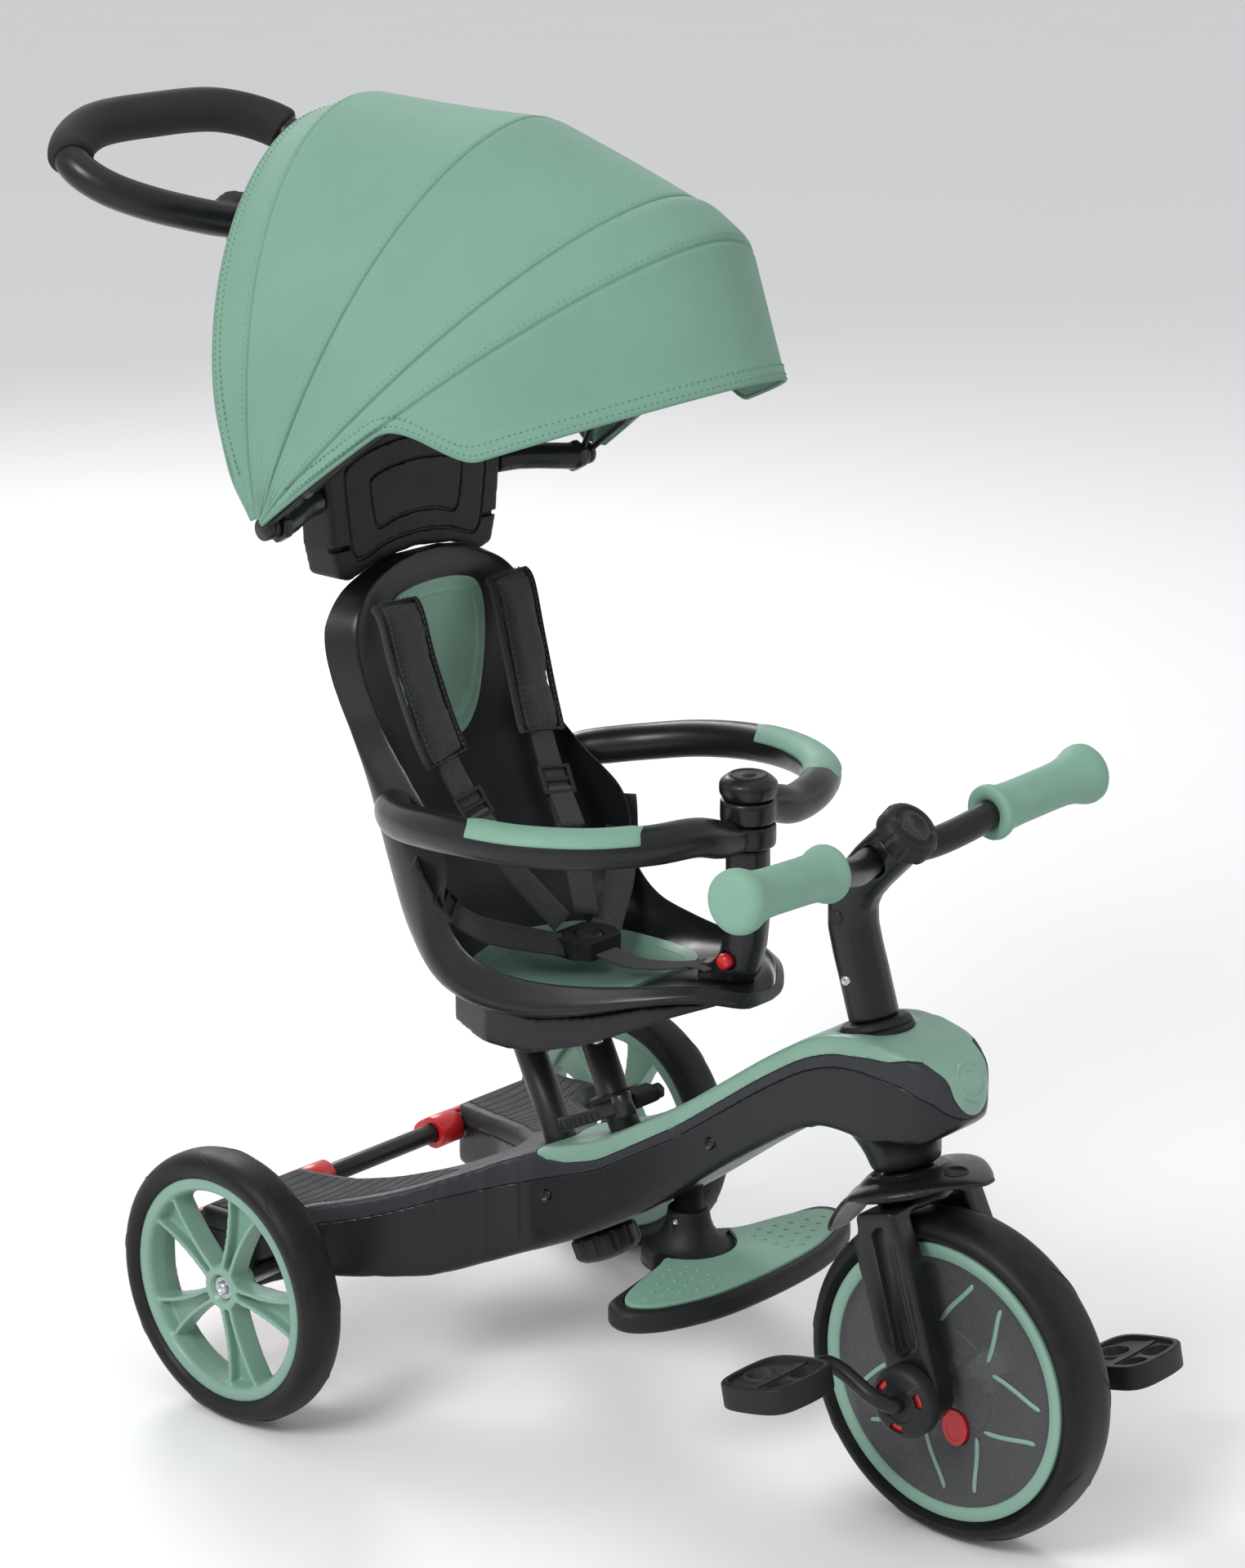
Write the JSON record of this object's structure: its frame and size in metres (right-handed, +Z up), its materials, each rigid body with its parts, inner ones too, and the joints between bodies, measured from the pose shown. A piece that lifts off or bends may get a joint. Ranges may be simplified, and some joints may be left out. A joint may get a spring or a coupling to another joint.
{
  "type": "children's tricycle",
  "caption": "Children's push tricycle: bucket seat with harness and safety ring, folding fabric canopy, steered pedal front wheel, rear deck and adult push handle.",
  "frame": {"origin": "on the floor under the centre of the tricycle's bounding box", "axes": "+Z up; -Y forwards, towards the front wheel; +X to the rider's left"},
  "size_m": [0.492, 0.9793, 1.0169],
  "materials": {
    "black_plastic": "satin black moulded plastic",
    "charcoal_plastic": "fine speckled charcoal plastic",
    "green_plastic": "satin sage green plastic",
    "green_rubber": "soft sage green grip rubber",
    "tyre_rubber": "black foam tyre with a fine tread",
    "foam_grip": "matte charcoal foam",
    "red_plastic": "bright red plastic",
    "black_steel": "satin black powder coat",
    "bright_steel": "zinc plated steel",
    "canopy_fabric": "sage green woven fabric",
    "webbing": "black woven webbing and padding"
  },
  "bodies": {
    "frame": {"frame_shell": "black_plastic", "frame_upper_trim": "charcoal_plastic", "frame_top_insert": "green_plastic", "deck_pad_right": "charcoal_plastic", "deck_pad_left": "charcoal_plastic", "rear_axle_right": "bright_steel", "rear_axle_left": "bright_steel", "head_collar": "black_plastic", "footrest_base": "black_plastic", "footrest_pad": "green_rubber", "seat_clamp_collar": "black_steel"},
    "lock_knob": {"frame_lock_knob": "black_plastic"},
    "clamp_lever": {"seat_clamp_lever": "black_plastic"},
    "brake": {"brake_cross_tube": "black_steel", "brake_pedal_right": "red_plastic", "brake_pedal_left": "red_plastic"},
    "rear_wheel_right": {"rear_tyre_right": "tyre_rubber", "rear_rim_right": "green_plastic"},
    "rear_wheel_left": {"rear_tyre_left": "tyre_rubber", "rear_rim_left": "green_plastic"},
    "steering": {"fork": "black_plastic", "fender": "black_plastic", "stem": "black_plastic", "handlebar": "black_steel", "grip_right": "green_rubber", "grip_left": "green_rubber"},
    "bar_knob": {"handlebar_knob": "black_plastic"},
    "front_wheel": {"front_tyre": "tyre_rubber", "front_wheel_disc": "charcoal_plastic"},
    "clutch_button": {"clutch_button": "red_plastic"},
    "crankset": {"crankset": "black_steel"},
    "pedal_right": {"pedal_right": "black_plastic"},
    "pedal_left": {"pedal_left": "black_plastic"},
    "seat": {"seat_shell": "black_plastic", "seat_insert": "green_rubber", "backrest_insert": "green_rubber", "seat_base_cover": "charcoal_plastic", "seat_post_front": "black_steel", "seat_post_rear": "black_steel", "ring_post": "black_plastic", "shoulder_strap_right": "webbing", "waist_strap_right": "webbing", "shoulder_strap_left": "webbing", "waist_strap_left": "webbing", "crotch_strap": "webbing", "buckle": "black_plastic", "headrest": "black_plastic", "canopy_arm_right": "black_plastic", "canopy_arm_left": "black_plastic", "canopy_fabric_rear": "canopy_fabric", "handle_sleeve": "black_steel"},
    "ring_right": {"ring_arm_right": "black_plastic"},
    "ring_left": {"ring_arm_left": "black_plastic"},
    "ring_button": {"ring_release_button": "red_plastic"},
    "buckle_button": {"buckle_button": "black_plastic"},
    "canopy_front": {"canopy_front_bow": "black_plastic", "canopy_fabric_front": "canopy_fabric"},
    "canopy_mid": {"canopy_mid_bow": "black_plastic"},
    "handle": {"handle_loop": "black_plastic", "handle_grip": "foam_grip"}
  },
  "joints": [
    {"name": "steering_turn", "type": "hinge", "parent": "frame", "child": "steering", "pos_m": [0, -0.31365, 0.274], "axis": [0, 0.3007, 0.9537], "range_deg": [-30, 30]},
    {"name": "front_wheel_spin", "type": "hinge", "parent": "steering", "child": "front_wheel", "pos_m": [0, -0.36465, 0.125], "axis": [1, 0, 0], "continuous": true},
    {"name": "crank_spin", "type": "hinge", "parent": "steering", "child": "crankset", "pos_m": [0, -0.36465, 0.125], "axis": [1, 0, 0], "continuous": true},
    {"name": "pedal_spin_right", "type": "hinge", "parent": "crankset", "child": "pedal_right", "pos_m": [-0.146, -0.31432, 0.15176], "axis": [1, 0, 0], "continuous": true},
    {"name": "pedal_spin_left", "type": "hinge", "parent": "crankset", "child": "pedal_left", "pos_m": [0.146, -0.41498, 0.09824], "axis": [1, 0, 0], "continuous": true},
    {"name": "clutch_button_press", "type": "slide", "parent": "front_wheel", "child": "clutch_button", "axis": [1, 0, 0], "range_m": [0, 0.003], "stiffness_N_per_m": 300},
    {"name": "handlebar_knob_turn", "type": "hinge", "parent": "steering", "child": "bar_knob", "pos_m": [0, -0.28465, 0.504], "axis": [0, -0.6947, 0.7193], "range_deg": [0, 360]},
    {"name": "rear_wheel_spin_right", "type": "hinge", "parent": "frame", "child": "rear_wheel_right", "pos_m": [-0.2275, 0.16935, 0.11], "axis": [1, 0, 0], "continuous": true},
    {"name": "rear_wheel_spin_left", "type": "hinge", "parent": "frame", "child": "rear_wheel_left", "pos_m": [0.2275, 0.16935, 0.11], "axis": [1, 0, 0], "continuous": true},
    {"name": "brake_press", "type": "hinge", "parent": "frame", "child": "brake", "pos_m": [0, 0.23535, 0.131], "axis": [-1, 0, 0], "range_deg": [0, 18], "stiffness_Nm_per_rad": 2},
    {"name": "seat_clamp_open", "type": "hinge", "parent": "frame", "child": "clamp_lever", "pos_m": [-0.022, -0.05544, 0.25911], "axis": [0, 0.4384, 0.8988], "range_deg": [0, 110]},
    {"name": "frame_lock_turn", "type": "hinge", "parent": "frame", "child": "lock_knob", "pos_m": [0, -0.01265, 0.13735], "axis": [0, -0.454, -0.891], "range_deg": [0, 90]},
    {"name": "seat_height", "type": "slide", "parent": "frame", "child": "seat", "axis": [0, 0.4384, 0.8988], "range_m": [-0.015, 0.03]},
    {"name": "ring_open_right", "type": "hinge", "parent": "seat", "child": "ring_right", "pos_m": [0, -0.15865, 0.503], "axis": [0, 0, 1], "range_deg": [0, 40]},
    {"name": "ring_open_left", "type": "hinge", "parent": "seat", "child": "ring_left", "pos_m": [0, -0.15865, 0.503], "axis": [0, 0, -1], "range_deg": [0, 40]},
    {"name": "ring_button_press", "type": "slide", "parent": "seat", "child": "ring_button", "axis": [1, 0, 0], "range_m": [0, 0.003], "stiffness_N_per_m": 300},
    {"name": "buckle_button_press", "type": "slide", "parent": "seat", "child": "buckle_button", "axis": [0, 0, -1], "range_m": [0, 0.0025], "stiffness_N_per_m": 300},
    {"name": "canopy_fold", "type": "hinge", "parent": "seat", "child": "canopy_front", "pos_m": [0, 0.16335, 0.704], "axis": [-1, 0, 0], "range_deg": [0, 60], "deforming": ["canopy_fabric_rear"]},
    {"name": "canopy_mid_fold", "type": "hinge", "parent": "seat", "child": "canopy_mid", "pos_m": [0, 0.16335, 0.704], "axis": [-1, 0, 0], "range_deg": [0, 30]},
    {"name": "handle_height", "type": "slide", "parent": "seat", "child": "handle", "axis": [0, 0.184, 0.9829], "range_m": [0, 0.09]}
  ],
  "couplings": [
    {"joint": "crank_spin", "follows": "front_wheel_spin", "ratio": 1},
    {"joint": "canopy_mid_fold", "follows": "canopy_fold", "ratio": 0.5}
  ]
}
